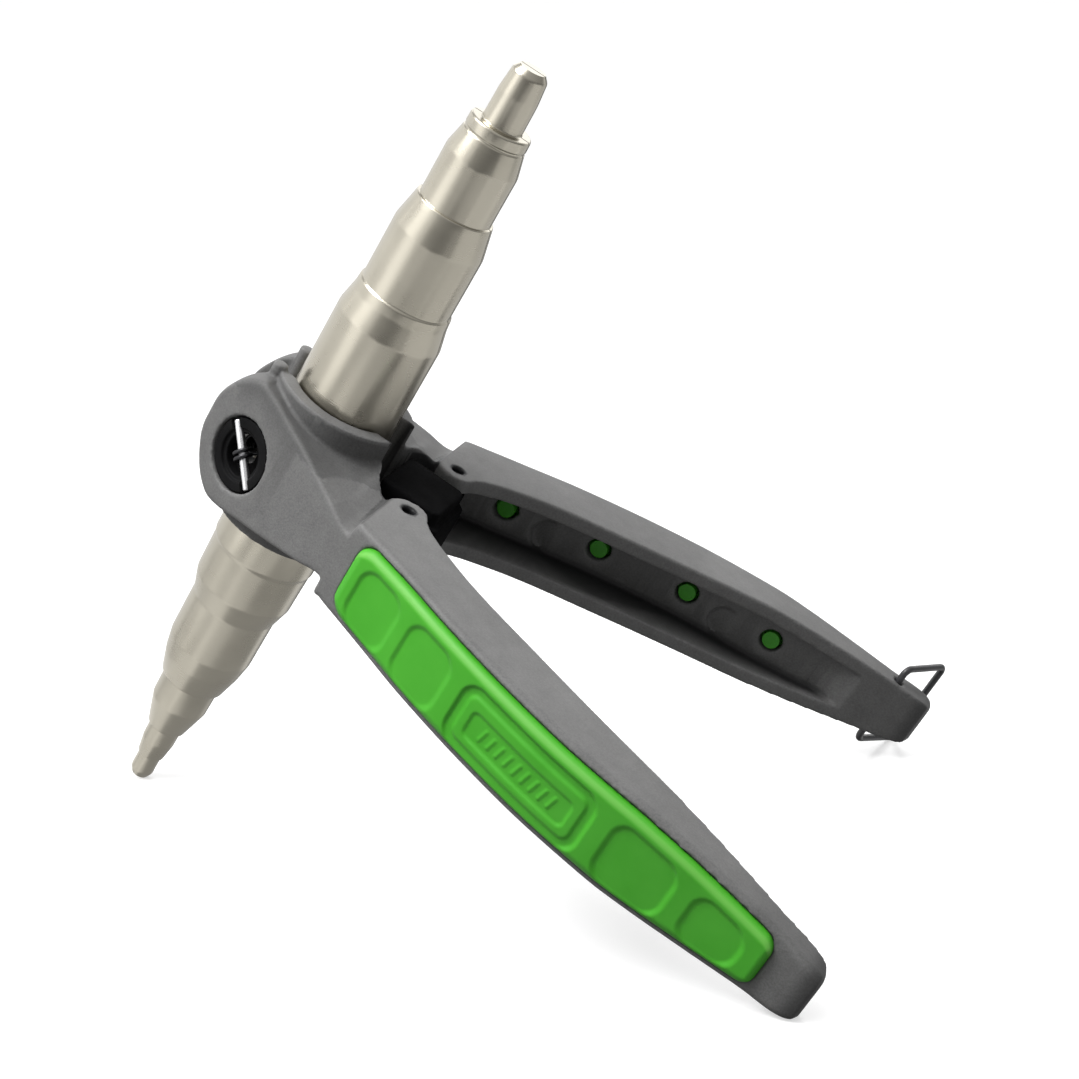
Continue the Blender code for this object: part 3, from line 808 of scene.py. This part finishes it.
# ---------------------------------------------------------------- fulcrum, hinges, bail
def fulcrum():
    px, py = PIVOT
    turn = [math.pi * k / 20 for k in range(21)]
    outline = [(px + EAR_R * math.cos(math.pi + a), -py + EAR_R * math.sin(math.pi + a)) for a in turn]
    outline += [(25.6, -9.0), (27.2, -7.2), (27.2, 7.2), (25.6, 9.0)]
    outline += [(px + EAR_R * math.cos(a), py + EAR_R * math.sin(a)) for a in turn]
    outline += [(16.2, 8.4), (13.9, 7.2), (13.9, -7.2), (16.2, -8.4)]
    block = loft("fulcrum_block", [[(x, y, z) for x, y in outline] for z in (-BLOCK_HALF, BLOCK_HALF)])
    core = [(13.9, -7.2), (25.0, -7.2), (26.0, -6.2), (26.0, 6.2), (25.0, 7.2), (13.9, 7.2)]
    cut(block, loft("core", [[(x, y, z) for x, y in core] for z in (-8.0, 8.0)]), "UNION")
    for sign in (-1, 1):
        cut(block, cylinder("bush_seat", BUSH_R + GAP, (px, sign * py, -9), (px, sign * py, 9), 48))
    return bevelled(block, 0.5, 3, 35.0)


def bush(sign):
    px, py = PIVOT
    ring = cylinder("bush", BUSH_R, (px, sign * py, -BUSH_HALF), (px, sign * py, BUSH_HALF), 48)
    cut(ring, cylinder("bore", PIN_R + 0.2, (px, sign * py, -9), (px, sign * py, 9), 40))
    return bevelled(ring, 0.15, 2, 35.0)


def hinge_pin(sign):
    px, py = PIVOT
    pin = cylinder("hinge", PIN_R, (px, sign * py, -PIN_HALF), (px, sign * py, PIN_HALF), 48)
    cut(pin, cylinder("bore", PIN_BORE, (px, sign * py, -9.0), (px, sign * py, 9.0), 40))
    return bevelled(pin, 0.12, 3, 35.0)


def round_path(corners, radius, steps=10):
    path = [Vector(corners[0])]
    for before, corner, after in zip(corners[:-2], corners[1:-1], corners[2:]):
        corner = Vector(corner)
        a = (Vector(before) - corner).normalized()
        b = (Vector(after) - corner).normalized()
        half = a.angle(b) / 2
        reach = radius / math.tan(half)
        centre = corner + (a + b).normalized() * (radius / math.sin(half))
        start = corner + a * reach - centre
        end = corner + b * reach - centre
        swing = start.angle(end)
        for k in range(steps + 1):
            t = k / steps
            between = start * math.sin((1 - t) * swing) + end * math.sin(t * swing)
            path.append(centre + between / math.sin(swing))
    path.append(Vector(corners[-1]))
    return path


def bail():
    x, y = BAIL
    far = (x + BAIL_LEG[0], y + BAIL_LEG[1])
    corners = [(x, y, 2.4), (x, y, 9.2), (*far, 9.6), (*far, -9.6), (x, y, -9.2), (x, y, -2.4)]
    return wire("bail", round_path(corners, 1.5), BAIL_WIRE, 5)


# ---------------------------------------------------------------- build
for side, body, flip in (("front", "front_half", False), ("rear", "rear_half", True)):
    piece = place(half_body(flip), side + "_casting", CAST, body, (side + "_body",), flip,
                  60.0)
    # painted shade in the channel, by the collar, at the ear step and round the pivot hole
    mark_painted_shade(piece)
    piece = place(mandrel_half(), side + "_mandrel_half", NICKEL, body, (side + "_mandrel",),
                  flip, 25.0)
    mark_axial(piece)
    piece = place(grip(), side + "_grip_pad", GREEN, body, (side + "_grip",), flip, 40.0)
    # painted highlight along the pad's upper border
    mark_painted_highlight(piece)
    place(cup(), side + "_cup", BLACK, body, (side + "_spring_cup",), flip)
    place(cross_pin(), side + "_cup_pin", CROSS, body, (side + "_cross_pin",), flip)
    for label in ("upper", "lower"):
        frame["nodes"][f"{side}_{label}_screw"].data.materials.clear()
        frame["nodes"][f"{side}_{label}_screw"].data.materials.append(STEEL)

place(fulcrum(), "fulcrum", BLOCK, "fulcrum", ("fulcrum_block",))
for side, sign in (("front", -1), ("rear", 1)):
    place(bush(sign), side + "_bush", BRONZE, "fulcrum", (side + "_hinge_bush",))
    place(hinge_pin(sign), side + "_pivot_pin", HINGE_PAINTED_SHADE, "fulcrum", (side + "_hinge_pin",))
place(bail(), "bail_loop", WIRE, "bail", ("lock_bail",))

for side, path in zip(("front", "rear"), spring_path()):
    piece = place(wire(side + "_spring", path, SPRING_WIRE), side + "_spring", SPRING, None, ("return_spring",))
    sign = -1 if side == "front" else 1
    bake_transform(piece)

# ---------------------------------------------------------------- stage, light, camera
CAMERA_LENS = 74.041
CAMERA_EULER = (1.28531, -0.00089, 0.28707)
CAMERA_SPOT = (0.11627, -0.36748, 0.16763)
STAGE_HALF = 4.0
STUDIO_CENTRE = Vector((0.0, 0.0, 0.07))
CARD_DISTANCE = 1.2
GLOW_SIZE = (0.17, 0.16)
GLOW_LEVEL = 0.18
GLOW_SPOT = (-0.06, 0.0, -0.002)
SUN_LEVEL = 1.1
SUN_SPREAD = math.radians(50.0)
KEY_FROM = Vector((-0.22, -0.22, 0.95))
NEAR_KEY_SIZE = 0.3
NEAR_KEY_LEVEL = 2.65
NEAR_KEY_SPOT = Vector((-0.2, -0.16, 0.5))
NEAR_KEY_AIM = Vector((-0.01, 0.0, 0.06))

# the floor is a pale table that lights itself a little, so its shadows stay soft; it doesn't light the object
floor_mesh = bmesh.new()
bmesh.ops.create_grid(floor_mesh, x_segments=2, y_segments=2, size=STAGE_HALF)
floor = from_bm("stage_floor", floor_mesh)
pale = Paint("stage_white", (0.5, 0.5, 0.5), 0.3)
pale.set("Emission Color", (1.0, 1.0, 1.0, 1.0))
pale.set("Emission Strength", 0.57)
floor.data.materials.append(pale.mat)
floor.visible_diffuse = False
floor.visible_glossy = False
floor.visible_shadow = False

world = bpy.data.worlds.new("studio")
bpy.context.scene.world = world
world.use_nodes = True
nodes, links = world.node_tree.nodes, world.node_tree.links
rise = nodes.new("ShaderNodeSeparateXYZ")
links.new(nodes.new("ShaderNodeTexCoord").outputs["Generated"], rise.inputs[0])
spread = nodes.new("ShaderNodeMapRange")
links.new(rise.outputs["Z"], spread.inputs["Value"])
spread.inputs["From Min"].default_value = -1.0
sky = nodes.new("ShaderNodeValToRGB")
links.new(spread.outputs["Result"], sky.inputs["Fac"])
# level of the sky from straight down (0) to straight up (1)
SKY = ((0.0, 0.24), (0.42, 0.22), (0.5, 0.28), (0.62, 0.45), (1.0, 0.7))
while len(sky.color_ramp.elements) < len(SKY):
    sky.color_ramp.elements.new(0.5)
for element, (at, level) in zip(sky.color_ramp.elements, SKY):
    element.position = at
    element.color = (level, level, level, 1.0)
links.new(sky.outputs["Color"], nodes["Background"].inputs["Color"])


def heading(azimuth, elevation):
    """Direction from the object: azimuth 0 is the camera's side (-Y), positive to the right."""
    a, e = math.radians(azimuth), math.radians(elevation)
    return Vector((math.sin(a) * math.cos(e), -math.cos(a) * math.cos(e), math.sin(e)))


def card(name, azimuths, elevations, level, colour=(1.0, 1.0, 1.0)):
    """A soft panel seen in reflections only, given by the angles that it spans."""
    middle_az, middle_el = sum(azimuths) / 2, sum(elevations) / 2
    wide = 2 * CARD_DISTANCE * math.tan(math.radians(azimuths[1] - azimuths[0]) / 2) * math.cos(
        math.radians(middle_el))
    tall = 2 * CARD_DISTANCE * math.tan(math.radians(elevations[1] - elevations[0]) / 2)
    data = bpy.data.lights.new(name, "AREA")
    data.shape = "RECTANGLE"
    data.size, data.size_y = wide, tall
    data.energy = level * math.pi * wide * tall
    data.color = colour
    lamp = bpy.data.objects.new(name, data)
    bpy.context.scene.collection.objects.link(lamp)
    away = heading(middle_az, middle_el)
    lamp.location = STUDIO_CENTRE + away * CARD_DISTANCE
    lamp.rotation_euler = (-away).to_track_quat("-Z", "Y").to_euler()
    lamp.visible_camera = False
    lamp.visible_diffuse = False
    return lamp


card("panel_left", (-95.0, -16.0), (-4.0, 42.0), 0.7)
card("panel_strip", (-62.0, -34.0), (-8.0, 36.0), 0.95)
card("panel_left_low", (-96.0, -34.0), (-52.0, -4.0), 0.68)
card("panel_front_left", (-34.0, -4.0), (-30.0, -4.0), 0.55)
card("panel_left_back", (-150.0, -95.0), (-30.0, 40.0), 0.8)
card("panel_front_low", (-34.0, 48.0), (-52.0, -20.0), 0.46)
card("panel_right_low", (50.0, 122.0), (-56.0, -14.0), 0.68)
card("panel_right_back", (125.0, 175.0), (-50.0, 10.0), 0.55)
card("panel_under", (-40.0, 40.0), (-130.0, -50.0), 0.6)
card("panel_ledges", (145.0, 210.0), (10.0, 42.0), 1.6)

# the table's glow in the lower part of the mandrel, seen in reflections only
glow_data = bpy.data.lights.new("table_glow", "AREA")
glow_data.shape = "RECTANGLE"
glow_data.size, glow_data.size_y = GLOW_SIZE
glow_data.energy = GLOW_LEVEL * math.pi * GLOW_SIZE[0] * GLOW_SIZE[1]
glow = bpy.data.objects.new("table_glow", glow_data)
bpy.context.scene.collection.objects.link(glow)
glow.location = GLOW_SPOT
glow.rotation_euler = (math.pi, 0.0, 0.0)
glow.visible_camera = False
glow.visible_diffuse = False

sun_data = bpy.data.lights.new("key", "SUN")
sun_data.energy = SUN_LEVEL
sun_data.angle = SUN_SPREAD
sun = bpy.data.objects.new("key", sun_data)
bpy.context.scene.collection.objects.link(sun)
sun.rotation_euler = (-KEY_FROM).to_track_quat("-Z", "Y").to_euler()

lamp_data = bpy.data.lights.new("near_key", "AREA")
lamp_data.shape = "DISK"
lamp_data.size = NEAR_KEY_SIZE
lamp_data.energy = NEAR_KEY_LEVEL
near_key = bpy.data.objects.new("near_key", lamp_data)
bpy.context.scene.collection.objects.link(near_key)
near_key.location = NEAR_KEY_SPOT
near_key.rotation_euler = (NEAR_KEY_AIM - NEAR_KEY_SPOT).to_track_quat("-Z", "Y").to_euler()
near_key.visible_camera = False

camera = bpy.data.objects.new("camera", bpy.data.cameras.new("camera"))
bpy.context.scene.collection.objects.link(camera)
camera.data.lens = CAMERA_LENS
camera.data.sensor_width = 36.0
camera.data.clip_start = 0.01
camera.location = CAMERA_SPOT
camera.rotation_euler = CAMERA_EULER
bpy.context.scene.camera = camera
bpy.context.scene.view_settings.view_transform = "Standard"
